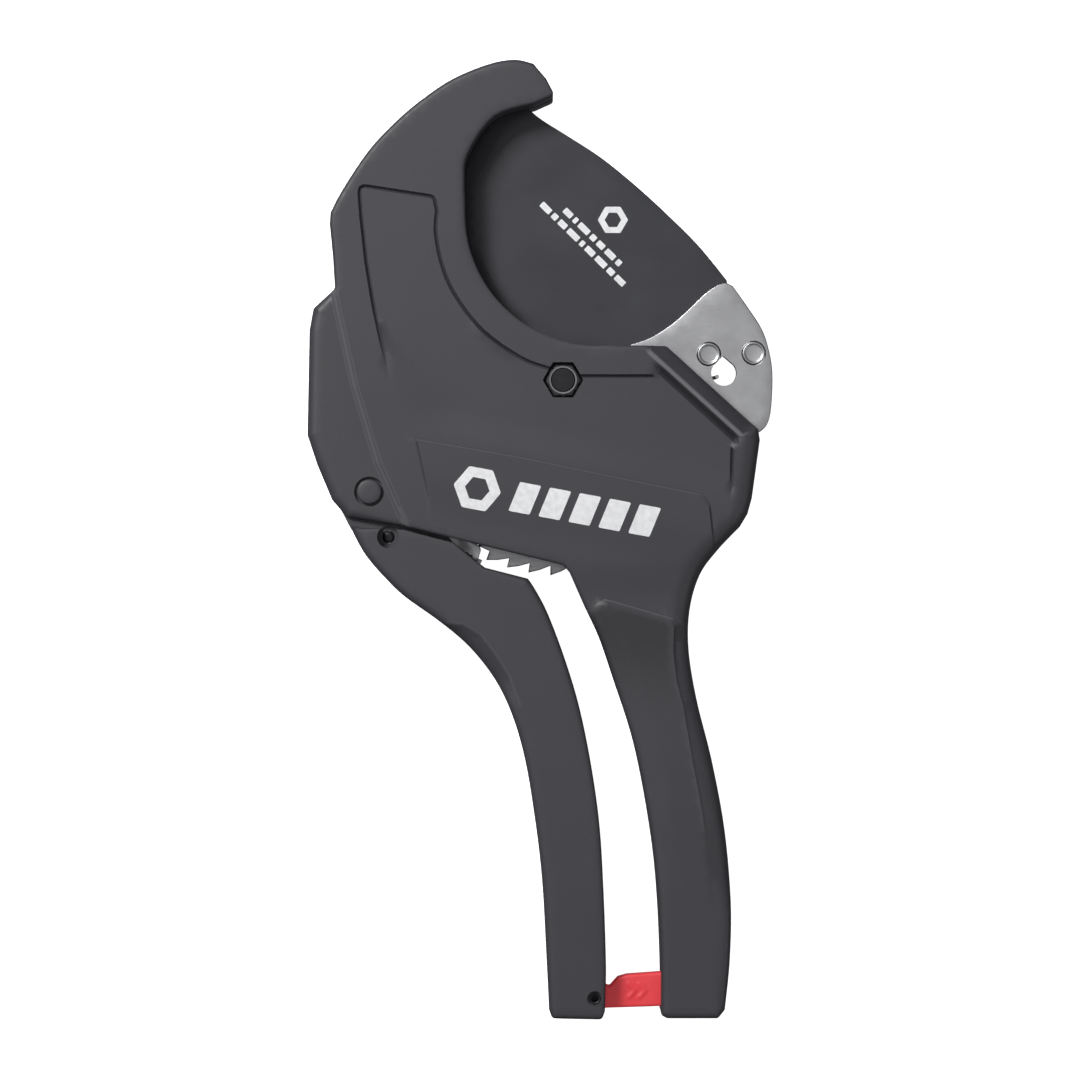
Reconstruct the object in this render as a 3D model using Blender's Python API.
"""Ratcheting plastic-pipe cutter, closed and latched, lying on its rear face.

Units are millimetres in the tables below and metres in the scene.
Outlines are drawn about the blade pivot; X runs to the right, Y towards the jaw, Z is the thickness.
The origin of the scene is the middle of the footprint, on the face the tool lies on.
"""

import math

import bmesh
import bpy
from mathutils import Matrix, Vector

MM = 0.001

# where the blade pivot lies from the middle of the footprint
PIVOT = (5.65, 40.0)

# thickness, from the rear face (0) to the front face
BODY_TOP = 24.0
BULGE_TOP = 21.6
MID = 12.0
SPLIT_GAP = 0.15
BLADE_Z = (10.8, 13.2)
LEAF_FRONT_Z = (13.35, 14.85)
LEAF_REAR_Z = (9.15, 10.65)
CAVITY_Z = (8.9, 15.1)
JAW_SLOT_Z = (10.3, 13.7)
LEVER_Z = (2.0, 22.0)
CHEEK_Z = (5.2, 18.8)
HOUSING_Z = (4.9, 19.1)
PAWL_Z = (9.3, 14.7)
LATCH_Z = (9.2, 14.8)

# jaw and blade
JAW_CENTRE = (8.75, 41.75)
JAW_RADIUS = 33.25
EDGE_RADIUS = 36.4
JAW_SLOT_RADIUS = 37.8
HUB_RADIUS = 8.0

# ratchet
TOOTH_TIP = 49.0
TOOTH_ROOT = 46.6
TOOTH_PITCH = 6.5
TOOTH_COUNT = 15
FIRST_TOOTH = -113.2
SECTOR_END = -118.0
TANG_RADIUS = 53.5

# pins
LEVER_PIVOT = (-48.5, -27.9)
PAWL_PIVOT = (-43.75, -39.25)
LATCH_PIVOT = (8.0, -154.75)
CATCH_PIN = (28.6, -150.2)
STOP_PIN_ANGLE = 141.8
STOP_PIN_DISTANCE = 44.0
RIVETS = ((36.7, 6.75), (48.0, 7.0))
SPRING_EYE = (40.5, 2.0)
PAWL_SPRING_TOP = (-34.5, -45.7)
PAWL_SPRING_AXIS = (-0.252, -0.968)
CASE_SCREWS = ((-38.0, 56.0), (-46.0, 34.0), (-57.0, 0.0), (19.0, -62.0), (30.0, -105.0), (33.0, -140.0))

BOLT_RADIUS = 3.0
BUSH_RADIUS = 4.0
NUT_FLATS = 8.0
NUT_POCKET_FLATS = 8.8
SMALL_PIN_RADIUS = 1.5
FIT = 0.06

HOOK_BACK = [(-1.8, 71.5), (-4.2, 75.2), (-7.4, 79.0), (-12, 80), (-18.25, 79), (-27, 75.5), (-34, 71), (-40.75, 65.5),
             (-48.4, 57.5), (-55.1, 47.5), (-58.1, 41.8)]
BODY_LEFT = [(-58.3, 39), (-57.5, 31), (-57, 23), (-62.5, 18), (-63.5, 12.5), (-64, -13.75),
             (-61.5, -21.25), (-57.8, -30), (-54, -34.4)]
BODY_UNDER = [(-39.75, -36.5), (-26.75, -39.75), (0, -46.25), (1.75, -48.25)]
GRIP_INSIDE = [(5.7, -57.25), (9.25, -65), (12.75, -75.25), (17.1, -88.5), (20, -101.25),
               (22.6, -117.25), (23.9, -131.25), (24.6, -148), (24.5, -158.75)]
GRIP_END = [(26, -159.6), (38.8, -159.6)]
GRIP_OUTSIDE = [(40.5, -157.5), (41.75, -145), (42, -130), (40.5, -112.5), (37.25, -95), (33.5, -80),
                (31.5, -67.5), (31.75, -57.5), (34.25, -48.75), (38.75, -42.5), (44.25, -36.75)]
BODY_RIGHT = [(46.2, -33.5), (47.3, -29.5), (49.3, -15), (48.9, -12.2)]
LOWER_LIP = [(25.9, 8.5), (16.75, 8.6)]
HOOK_INSIDE = [(-24.6, 50), (-23.8, 56.4), (-17.25, 65.6), (-7, 68.8), (-2.4, 70.5)]

LEVER_BACK = [(-53.2, -36.4), (-52.25, -38.75), (-49.25, -44), (-44.5, -49.5), (-39.5, -54.25),
              (-30.75, -60.5), (-23.25, -67), (-17, -75), (-12.75, -83.75), (-9.5, -95), (-7, -110),
              (-5.25, -125), (-4.25, -142.5), (-3.5, -157.5)]
LEVER_END = [(-2.75, -159.75), (9.75, -160), (10.5, -158)]
LEVER_INSIDE = [(10.75, -151.25), (10.75, -145), (10.25, -130), (9.25, -112.5), (7.25, -97.5),
                (4.25, -82.5), (0.5, -70), (-3.75, -58.75), (-7, -52.5), (-8.8, -49.8)]
LEVER_TOP = [(-19.75, -47.0), (-21.5, -45.6), (-27.5, -40.9), (-39.8, -37.6), (-50.0, -37.2)]

BLADE_BACK = [(41.25, 25.4), (34.25, 34), (26.65, 41.6), (19, 48.65), (10, 56), (1.15, 61.75),
              (-6.25, 66.5), (-11, 71)]
BLADE_TANG = [(44, -5), (50, -4), (51, 2), (50, 8), (48, 13), (45, 17.5), (41.8, 22.5)]
TANG_OUTSIDE = [(49.7, -12.75), (51.4, -10.9), (52.4, -6.75), (52.7, 2), (51.7, 8.25), (49.9, 13.3),
                (46.4, 18.7), (42.7, 23.9)]
TANG_INSIDE = [(41, 24.7), (38.9, 24.1), (35.75, 22), (31.5, 17.9), (27, 14), (22, 10.9),
               (16.25, 8.75), (10, 5.2)]

PAWL_OUTLINE = [(-20.3, -45.1), (-29.4, -41.0), (-41.5, -35.9), (-44.6, -35.4), (-47.2, -37.4),
                (-47.7, -40.6), (-45.6, -42.9), (-41.0, -44.0), (-31.0, -46.6), (-22.0, -48.4)]
LATCH_OUTLINE = [(8.0, -150.9), (11.75, -152.25), (13.75, -150.0), (16.0, -149.35), (24.9, -148.7),
                 (25.6, -149.3), (25.6, -153.7), (30.9, -153.7), (31.2, -150.5), (33.2, -151.2),
                 (33.4, -156.4), (32.4, -157.0), (10.9, -157.7), (8.0, -158.6), (5.2, -157.5),
                 (4.1, -154.7), (5.2, -152.0)]

DARK_PAINT = (0.075, 0.073, 0.080)
BLACK_COATING = (0.048, 0.048, 0.056)
BRIGHT_STEEL = (0.56, 0.56, 0.58)
DARK_STEEL = (0.10, 0.10, 0.11)
RED_PLASTIC = (0.60, 0.055, 0.06)


# ---------------------------------------------------------------- helpers

def clear_scene():
    for obj in list(bpy.data.objects):
        bpy.data.objects.remove(obj, do_unlink=True)


def material(name, color, roughness, metallic):
    mat = bpy.data.materials.new(name)
    mat.use_nodes = True
    shader = mat.node_tree.nodes["Principled BSDF"]
    shader.inputs["Base Color"].default_value = (*color, 1.0)
    shader.inputs["Roughness"].default_value = roughness
    shader.inputs["Metallic"].default_value = metallic
    mat.diffuse_color = (*color, 1.0)
    return mat


def polar(radius, degrees, centre=(0.0, 0.0)):
    angle = math.radians(degrees)
    return (centre[0] + radius * math.cos(angle), centre[1] + radius * math.sin(angle))


def arc(centre, radius, start, end, steps):
    return [polar(radius, start + (end - start) * i / steps, centre) for i in range(steps + 1)]


def circle(centre, radius, steps=32):
    return [polar(radius, 360.0 * i / steps, centre) for i in range(steps)]


def hexagon(centre, across_flats):
    corner = across_flats / 2 / math.cos(math.radians(30))
    return [polar(corner, 60.0 * i, centre) for i in range(6)]


def spline(points, steps=3):
    """A smooth curve through the points (Catmull-Rom), ends included."""
    ends = [points[0]] + list(points) + [points[-1]]
    curve = []
    for before, start, end, after in zip(ends, ends[1:], ends[2:], ends[3:]):
        for i in range(steps):
            t = i / steps
            curve.append(tuple(
                0.5 * (2 * b + (c - a) * t + (2 * a - 5 * b + 4 * c - d) * t * t
                       + (3 * b - a - 3 * c + d) * t ** 3)
                for a, b, c, d in zip(before, start, end, after)))
    curve.append(tuple(points[-1]))
    return curve


def link(name, mesh, mat, origin=(0.0, 0.0)):
    """Puts a mesh drawn about the blade pivot in the scene, with its object origin on a joint axis."""
    place = Vector((PIVOT[0] + origin[0], PIVOT[1] + origin[1], 0.0)) * MM
    mesh.transform(Matrix.Translation((-origin[0] * MM, -origin[1] * MM, 0.0)))
    obj = bpy.data.objects.new(name, mesh)
    obj.location = place
    bpy.context.scene.collection.objects.link(obj)
    if mat is not None:
        mesh.materials.append(mat)
    return obj


def inset(outline, distance):
    """The outline moved inwards by a distance; it must run anticlockwise."""
    moved = []
    for before, here, after in zip(outline[-1:] + outline[:-1], outline, outline[1:] + outline[:1]):
        first = Vector((here[0] - before[0], here[1] - before[1])).normalized()
        second = Vector((after[0] - here[0], after[1] - here[1])).normalized()
        normal = Vector((-first.y - second.y, first.x + second.x)).normalized()
        reach = distance / max(0.5, normal.dot(Vector((-first.y, first.x))))
        moved.append((here[0] + normal.x * reach, here[1] + normal.y * reach))
    return moved


def prism_mesh(name, outline, low, high, low_round=0.0, high_round=0.0):
    """A closed prism on an outline, its bottom and top edges rounded over."""
    area = sum(a[0] * b[1] - b[0] * a[1] for a, b in zip(outline, outline[1:] + outline[:1]))
    if area < 0:
        outline = outline[::-1]
    levels = [(0.0, low), (0.0, high)]
    if low_round:
        levels[0:1] = [(low_round, low), (0.3 * low_round, low + 0.3 * low_round), (0.0, low + low_round)]
    if high_round:
        levels[-1:] = [(0.0, high - high_round), (0.3 * high_round, high - 0.3 * high_round),
                       (high_round, high)]
    mesh = bpy.data.meshes.new(name)
    shape = bmesh.new()
    rings = [[shape.verts.new((x * MM, y * MM, z * MM)) for x, y in inset(outline, distance)]
             for distance, z in levels]
    shape.faces.new(rings[0][::-1])
    shape.faces.new(rings[-1])
    for lower, upper in zip(rings, rings[1:]):
        for i in range(len(outline)):
            j = (i + 1) % len(outline)
            shape.faces.new((lower[i], lower[j], upper[j], upper[i]))
    shape.to_mesh(mesh)
    shape.free()
    return mesh


def prism(name, outline, low, high, mat, origin=(0.0, 0.0), low_round=0.0, high_round=0.0):
    return link(name, prism_mesh(name, outline, low, high, low_round, high_round), mat, origin)


def turned(name, centre, profile, mat, origin=(0.0, 0.0), steps=32):
    """A round part: (radius, height) pairs spun about a vertical axis, closed on the axis."""
    mesh = bpy.data.meshes.new(name)
    shape = bmesh.new()
    rings = []
    for radius, height in profile:
        ring = []
        for x, y in circle(centre, radius, steps):
            ring.append(shape.verts.new((x * MM, y * MM, height * MM)))
        rings.append(ring)
    for lower, upper in zip(rings, rings[1:]):
        for i in range(steps):
            j = (i + 1) % steps
            shape.faces.new((lower[i], lower[j], upper[j], upper[i]))
    shape.faces.new(rings[0][::-1])
    shape.faces.new(rings[-1])
    bmesh.ops.recalc_face_normals(shape, faces=shape.faces)
    shape.to_mesh(mesh)
    shape.free()
    return smooth(link(name, mesh, mat, origin))


def sleeve(name, centre, inner, outer, low, high, mat, origin=(0.0, 0.0), steps=32):
    """A tube: a bush, washer or ring."""
    mesh = bpy.data.meshes.new(name)
    shape = bmesh.new()
    rings = []
    for radius, height in ((inner, low), (outer, low), (outer, high), (inner, high)):
        ring = [shape.verts.new((x * MM, y * MM, height * MM)) for x, y in circle(centre, radius, steps)]
        rings.append(ring)
    for first, second in zip(rings, rings[1:] + rings[:1]):
        for i in range(steps):
            j = (i + 1) % steps
            shape.faces.new((first[i], first[j], second[j], second[i]))
    bmesh.ops.recalc_face_normals(shape, faces=shape.faces)
    shape.to_mesh(mesh)
    shape.free()
    return smooth(link(name, mesh, mat, origin))


def wire(name, path, radius, mat, origin=(0.0, 0.0)):
    """A round wire along a path of (x, y, z) points in millimetres."""
    curve = bpy.data.curves.new(name, "CURVE")
    curve.dimensions = "3D"
    curve.bevel_depth = radius * MM
    curve.bevel_resolution = 2
    curve.use_fill_caps = True
    line = curve.splines.new("POLY")
    line.points.add(len(path) - 1)
    for point, (x, y, z) in zip(line.points, path):
        point.co = ((x - origin[0]) * MM, (y - origin[1]) * MM, z * MM, 1.0)
    obj = bpy.data.objects.new(name, curve)
    obj.location = Vector((PIVOT[0] + origin[0], PIVOT[1] + origin[1], 0.0)) * MM
    bpy.context.scene.collection.objects.link(obj)
    curve.materials.append(mat)
    return obj


def smooth(obj):
    obj.data.shade_smooth()
    obj.data.set_sharp_from_angle(angle=math.radians(35))
    return obj


def combine(obj, operation, outline, low, high):
    """Adds or cuts a prism; the tool body stays hidden beside the part."""
    tool = prism(f"tool_{obj.name}_{len(obj.modifiers)}", outline, low, high, None)
    tool.display_type = "WIRE"
    tool.hide_render = True
    mod = obj.modifiers.new("shape", "BOOLEAN")
    mod.operation = operation
    mod.solver = "EXACT"
    mod.object = tool
    return obj


def cut(obj, outline, low, high):
    return combine(obj, "DIFFERENCE", outline, low, high)


def drill(obj, centre, radius, low, high, steps=32):
    return cut(obj, circle(centre, radius, steps), low, high)


# ---------------------------------------------------------------- outlines

def body_outline():
    jaw = arc(JAW_CENTRE, JAW_RADIUS, 270, 180, 22)
    return (spline(HOOK_BACK) + BODY_LEFT + BODY_UNDER + spline(GRIP_INSIDE) + GRIP_END
            + spline(GRIP_OUTSIDE) + BODY_RIGHT + LOWER_LIP + jaw + HOOK_INSIDE)


def lever_outline():
    return spline(LEVER_BACK) + LEVER_END + spline(LEVER_INSIDE) + LEVER_TOP


def blade_outline():
    edge = arc(JAW_CENTRE, EDGE_RADIUS, 126, 250, 30)
    hub = arc((0, 0), HUB_RADIUS, 112, 330, 20)
    return edge + hub + BLADE_TANG + BLADE_BACK


def tooth_points():
    """Sawteeth from the leading end towards the tang: a steep face, then a long ramp."""
    points = []
    for i in range(TOOTH_COUNT):
        tip = FIRST_TOOTH + TOOTH_PITCH * i
        points.append(polar(TOOTH_ROOT, tip - 0.15))
        points.append(polar(TOOTH_TIP, tip))
        points.append(polar(TOOTH_TIP - 1.1, tip + TOOTH_PITCH * 0.5))
    return points


def leaf_outline():
    hub = arc((0, 0), HUB_RADIUS, 50, 238, 18)
    lead = [polar(TOOTH_ROOT - 1.0, SECTOR_END), polar(TOOTH_ROOT, SECTOR_END + 1.0)]
    return hub + [polar(14, SECTOR_END)] + lead + tooth_points() + TANG_OUTSIDE + TANG_INSIDE


def cavity_outline():
    """Room for the ratchet leaves: a wide sweep for the tang, a smaller one for the teeth."""
    tang = arc((0, 0), TANG_RADIUS + 1.0, 36, -116, 44)
    teeth = arc((0, 0), TOOTH_TIP + 1.4, -116, -222, 30)
    hub = arc((0, 0), HUB_RADIUS + 2.0, 138, 36, 12)
    return tang + teeth + hub


def housing_outline():
    """Room for the lever's two cheeks, open downwards."""
    around = arc(LEVER_PIVOT, 9.6, 30, 190, 18)
    return around + [(-60, -33), (-60, -64), (-8, -64), (-17, -43)]


def fork_outline():
    """The slot through the lever for the tang, the teeth, the pawl and the lever spring."""
    sweep = arc((0, 0), TANG_RADIUS + 1.6, -88, -119, 10)
    floor = [(-27.2, -50.6), (-31.6, -49.2), (-42.0, -46.2), (-47.0, -43.8), (-48.9, -41.0)]
    left = [(-49.6, -38.0), (-58.5, -33.0), (-58.5, -15.0), (0.0, -15.0)]
    return sweep + floor + left


# ---------------------------------------------------------------- the body halves

def common_cuts(half, low, high):
    cut(half, cavity_outline(), *CAVITY_Z)
    cut(half, circle(JAW_CENTRE, JAW_SLOT_RADIUS, 72), *JAW_SLOT_Z)
    cut(half, housing_outline(), *HOUSING_Z)
    cut(half, [(18, -165), (34.63, -165), (34.63, -146.8), (18, -146.8)], *CAVITY_Z)
    drill(half, (0, 0), BOLT_RADIUS + FIT, low, high)
    drill(half, LEVER_PIVOT, 2.5 + FIT, low, high)
    for x, y in (CATCH_PIN, polar(STOP_PIN_DISTANCE, STOP_PIN_ANGLE)):
        drill(half, (x, y), SMALL_PIN_RADIUS + FIT, 6.9, 17.1, 20)


def build_front_frame(paint):
    half = prism("front_frame", body_outline(), MID + SPLIT_GAP, BODY_TOP, paint, high_round=1.4)
    bulge = [(-57.25, 21.5), (-52, -2), (-46.25, -20.75), (-39.75, -35.25), (-39, -42), (-70, -42), (-70, 21.5)]
    cut(half, bulge, BULGE_TOP, BODY_TOP + 2)
    common_cuts(half, MID - 1, BODY_TOP + 1)
    cut(half, hexagon((0, 0), NUT_POCKET_FLATS), 18.4, BODY_TOP + 1)
    drill(half, LEVER_PIVOT, 3.7, 20.2, BODY_TOP)
    for centre in CASE_SCREWS:
        drill(half, centre, SMALL_PIN_RADIUS + FIT, MID - 1, 20.2, 20)
    return smooth(half)


def build_rear_frame(paint):
    half = prism("rear_frame", body_outline(), 0.0, MID - SPLIT_GAP, paint, low_round=1.4)
    common_cuts(half, -1, MID + 1)
    drill(half, (0, 0), 6.2, -1, 4.0)
    drill(half, LEVER_PIVOT, 5.2, -1, 3.2)
    for centre in CASE_SCREWS:
        drill(half, centre, SMALL_PIN_RADIUS + FIT, -1, MID + 1, 20)
        drill(half, centre, 3.4, -1, 3.2, 24)
    room = arc((0, 0), 43.5, 12, -104, 26) + [polar(11, -104)] + arc((0, 0), 11, -150, -330, 20) + [polar(11, 12)]
    cut(half, room, 4.9, 9.4)
    combine(half, "UNION", circle((0, 0), 5.6), 4.4, 8.9)
    drill(half, (0, 0), BOLT_RADIUS + FIT, 3.0, 9.5)
    return smooth(half)


# ---------------------------------------------------------------- blade and ratchet

def build_blade(coating):
    blade = prism("blade", blade_outline(), *BLADE_Z, coating)
    drill(blade, (0, 0), BUSH_RADIUS + 0.1, BLADE_Z[0] - 1, BLADE_Z[1] + 1, 48)
    for centre in RIVETS:
        drill(blade, centre, 3.0, BLADE_Z[0] - 1, BLADE_Z[1] + 1, 24)
    cut(blade, eye_outline(), BLADE_Z[0] - 1, BLADE_Z[1] + 1)
    return smooth(blade)


def eye_outline():
    """The teardrop hole in the tang that takes the opening spring."""
    return arc(SPRING_EYE, 3.2, 135, 405, 20) + [(SPRING_EYE[0] - 0.15, SPRING_EYE[1] + 4.3)]


def build_leaf(name, levels, steel):
    leaf = prism(name, leaf_outline(), *levels, steel)
    drill(leaf, (0, 0), BUSH_RADIUS + 0.1, levels[0] - 1, levels[1] + 1, 48)
    for centre in RIVETS:
        drill(leaf, centre, 3.0, levels[0] - 1, levels[1] + 1, 24)
    cut(leaf, eye_outline(), levels[0] - 1, levels[1] + 1)
    return smooth(leaf)


def build_rivets(steel):
    for number, centre in enumerate(RIVETS, 1):
        profile = [(2.6, 9.0), (2.92, 9.25), (2.92, 14.75), (2.6, 15.0)]
        turned(f"ratchet_rivet_{number}", centre, profile, steel, steps=24)


def coil(centre, radius, start, end, low, high, steps):
    """Points along a coil about a vertical axis; the angles are in degrees."""
    points = []
    for i in range(steps + 1):
        share = i / steps
        points.append((*polar(radius, start + (end - start) * share, centre), low + (high - low) * share))
    return points


def build_blade_spring(steel):
    """A torsion spring round the rear boss; its long leg hooks up through the tang's eye."""
    short_leg = [(-8.9, 1.6, 5.55), (-8.3, -0.4, 5.55)]
    turns = coil((0, 0), 8.0, 200, 990, 5.6, 8.2, 64)
    long_leg = [(2.0, -7.9, 8.2), (20, -3.4, 8.2), (36.9, 0.7, 8.2), (37.9, 0.9, 8.35), (38.6, 1.05, 8.9),
                (38.8, 1.1, 9.8), (38.8, 1.1, 14.6)]
    return wire("blade_spring", short_leg + turns + long_leg, 0.5, steel)


# ---------------------------------------------------------------- pivot hardware

def build_pivot(steel, bright):
    profile = [(4.4, 0.5), (5.0, 1.0), (5.0, 3.9), (BOLT_RADIUS, 3.9), (BOLT_RADIUS, 22.6), (2.6, 23.0)]
    turned("pivot_bolt", (0, 0), profile, steel)
    nut = prism("pivot_nut", hexagon((0, 0), NUT_FLATS), 19.5, 22.9, steel, high_round=0.4)
    drill(nut, (0, 0), BOLT_RADIUS + FIT, 18, 24)
    sleeve("pivot_spring_washer", (0, 0), BOLT_RADIUS + 0.1, 3.9, 18.5, 19.4, bright)
    sleeve("pivot_bush", (0, 0), BOLT_RADIUS + 0.08, BUSH_RADIUS, 9.0, 15.0, bright, steps=48)


def build_frame_pins(steel, bright):
    profile = [(2.2, 1.3), (2.5, 1.6), (2.5, 20.3), (3.1, 20.3), (3.1, 21.3), (2.7, 21.6)]
    turned("lever_pin", LEVER_PIVOT, profile, steel)
    sleeve("lever_pin_washer", LEVER_PIVOT, 2.6, 4.6, 2.3, 3.1, bright)
    pin = [(1.3, 7.1), (SMALL_PIN_RADIUS, 7.3), (SMALL_PIN_RADIUS, 16.7), (1.3, 16.9)]
    turned("blade_stop_pin", polar(STOP_PIN_DISTANCE, STOP_PIN_ANGLE), pin, steel, steps=20)
    turned("latch_catch_pin", CATCH_PIN, pin, steel, steps=20)
    for number, centre in enumerate(CASE_SCREWS, 1):
        screw = [(2.6, 1.0), (3.0, 1.3), (3.0, 3.1), (SMALL_PIN_RADIUS, 3.1), (SMALL_PIN_RADIUS, 19.4),
                 (1.1, 19.9)]
        turned(f"case_screw_{number}", centre, screw, bright, steps=20)


# ---------------------------------------------------------------- lever, pawl and latch

def build_lever(paint):
    lever = prism("lever", lever_outline(), *LEVER_Z, paint, LEVER_PIVOT, 1.3, 1.3)
    cheek = (arc(LEVER_PIVOT, 8.5, 40, 215, 16)
             + [(-53.4, -36.8), (-49.0, -43.5), (-38.0, -52.0), (-24.0, -52.0), (-22.3, -47.3)])
    combine(lever, "UNION", cheek, *CHEEK_Z)
    cut(lever, fork_outline(), *CAVITY_Z)
    cut(lever, [(3.2, -170), (20, -170), (20, -149.6), (6.0, -149.6), (3.2, -152.0)], *CAVITY_Z)
    drill(lever, LEVER_PIVOT, 3.6, 0, 25)
    drill(lever, PAWL_PIVOT, SMALL_PIN_RADIUS + FIT, 4.0, 19.9, 20)
    drill(lever, PAWL_PIVOT, 2.3, 19.9, 25, 24)
    drill(lever, PAWL_PIVOT, 2.3, -1, 4.0, 24)
    drill(lever, LATCH_PIVOT, SMALL_PIN_RADIUS + FIT, 0, 25, 20)
    cut(lever, pawl_spring_pocket(), MID - 1.6, MID + 1.6)
    return smooth(lever)


def build_lever_fittings(steel, bright):
    sleeve("lever_bush", LEVER_PIVOT, 2.6, 3.5, 5.2, 18.8, bright, LEVER_PIVOT)
    pin = [(1.3, 4.2), (SMALL_PIN_RADIUS, 4.4), (SMALL_PIN_RADIUS, 19.5), (1.3, 19.7)]
    turned("pawl_pin", PAWL_PIVOT, pin, steel, LEVER_PIVOT, 20)
    pin = [(1.3, 2.4), (SMALL_PIN_RADIUS, 2.6), (SMALL_PIN_RADIUS, 21.4), (1.3, 21.6)]
    turned("latch_pin", LATCH_PIVOT, pin, steel, LEVER_PIVOT, 20)
    short_leg = [(-53.6, -24.6, 9.75), (-53.3, -26.4, 9.75)]
    turns = coil(LEVER_PIVOT, 4.6, 190, 1440, 9.8, 14.2, 60)
    long_leg = [(-44.0, -26.6, 14.25), (-44.6, -24.0, 14.25)]
    wire("lever_spring", short_leg + turns + long_leg, 0.5, steel, LEVER_PIVOT)
    build_pawl_spring(steel)


def build_pawl_spring(steel):
    """A small compression spring that stands in the lever's pocket, under the pawl."""
    top = Vector((*PAWL_SPRING_TOP, MID))
    down = Vector((*PAWL_SPRING_AXIS, 0.0)).normalized()
    across = Vector((-down.y, down.x, 0.0))
    path = []
    steps = 70
    for i in range(steps + 1):
        share = i / steps
        angle = math.radians(360 * 5 * share)
        path.append(tuple(top + down * (0.45 + 4.8 * share)
                          + across * (1.05 * math.cos(angle)) + Vector((0, 0, 1.05 * math.sin(angle)))))
    wire("pawl_spring", path, 0.25, steel, LEVER_PIVOT)


def pawl_spring_pocket():
    top = Vector(PAWL_SPRING_TOP)
    down = Vector(PAWL_SPRING_AXIS).normalized()
    across = Vector((-down.y, down.x)) * 1.6
    floor = top + down * 6.0
    return [tuple(top + across), tuple(top - across), tuple(floor - across), tuple(floor + across)]


def build_pawl(steel):
    pawl = prism("drive_pawl", PAWL_OUTLINE, *PAWL_Z, steel, PAWL_PIVOT)
    drill(pawl, PAWL_PIVOT, SMALL_PIN_RADIUS + 0.1, PAWL_Z[0] - 1, PAWL_Z[1] + 1, 24)
    return smooth(pawl)


def build_latch(plastic):
    latch = prism("latch", LATCH_OUTLINE, *LATCH_Z, plastic, LATCH_PIVOT, 0.4, 0.4)
    drill(latch, LATCH_PIVOT, SMALL_PIN_RADIUS + 0.1, LATCH_Z[0] - 1, LATCH_Z[1] + 1, 24)
    return smooth(latch)


def parent_to_axis(name, centre, children):
    """An empty on a joint axis that carries the pieces which turn about it."""
    axis = bpy.data.objects.new(name, None)
    axis.location = Vector((PIVOT[0] + centre[0], PIVOT[1] + centre[1], MID)) * MM
    bpy.context.scene.collection.objects.link(axis)
    bpy.context.view_layer.update()
    for child in children:
        obj = bpy.data.objects[child]
        obj.parent = axis
        obj.matrix_parent_inverse = Matrix.Translation(-axis.location)
    return axis


def main():
    clear_scene()
    paint = material("cast_paint", DARK_PAINT, 0.55, 0.3)
    coating = material("blade_coating", BLACK_COATING, 0.42, 0.5)
    bright = material("bright_steel", BRIGHT_STEEL, 0.32, 1.0)
    dark = material("dark_steel", DARK_STEEL, 0.40, 0.9)
    plastic = material("red_plastic", RED_PLASTIC, 0.40, 0.0)
    build_front_frame(paint)
    build_rear_frame(paint)
    build_pivot(dark, bright)
    build_frame_pins(dark, bright)
    build_blade(coating)
    build_leaf("ratchet_plate_front", LEAF_FRONT_Z, bright)
    build_leaf("ratchet_plate_rear", LEAF_REAR_Z, bright)
    build_rivets(bright)
    build_blade_spring(bright)
    build_lever(paint)
    build_lever_fittings(dark, bright)
    build_pawl(bright)
    build_latch(plastic)
    parent_to_axis("blade_axis", (0, 0), ["blade", "ratchet_plate_front", "ratchet_plate_rear",
                                          "ratchet_rivet_1", "ratchet_rivet_2", "blade_spring"])
    parent_to_axis("lever_axis", LEVER_PIVOT, ["lever", "lever_bush", "lever_spring", "pawl_spring",
                                              "pawl_pin", "latch_pin"])


main()
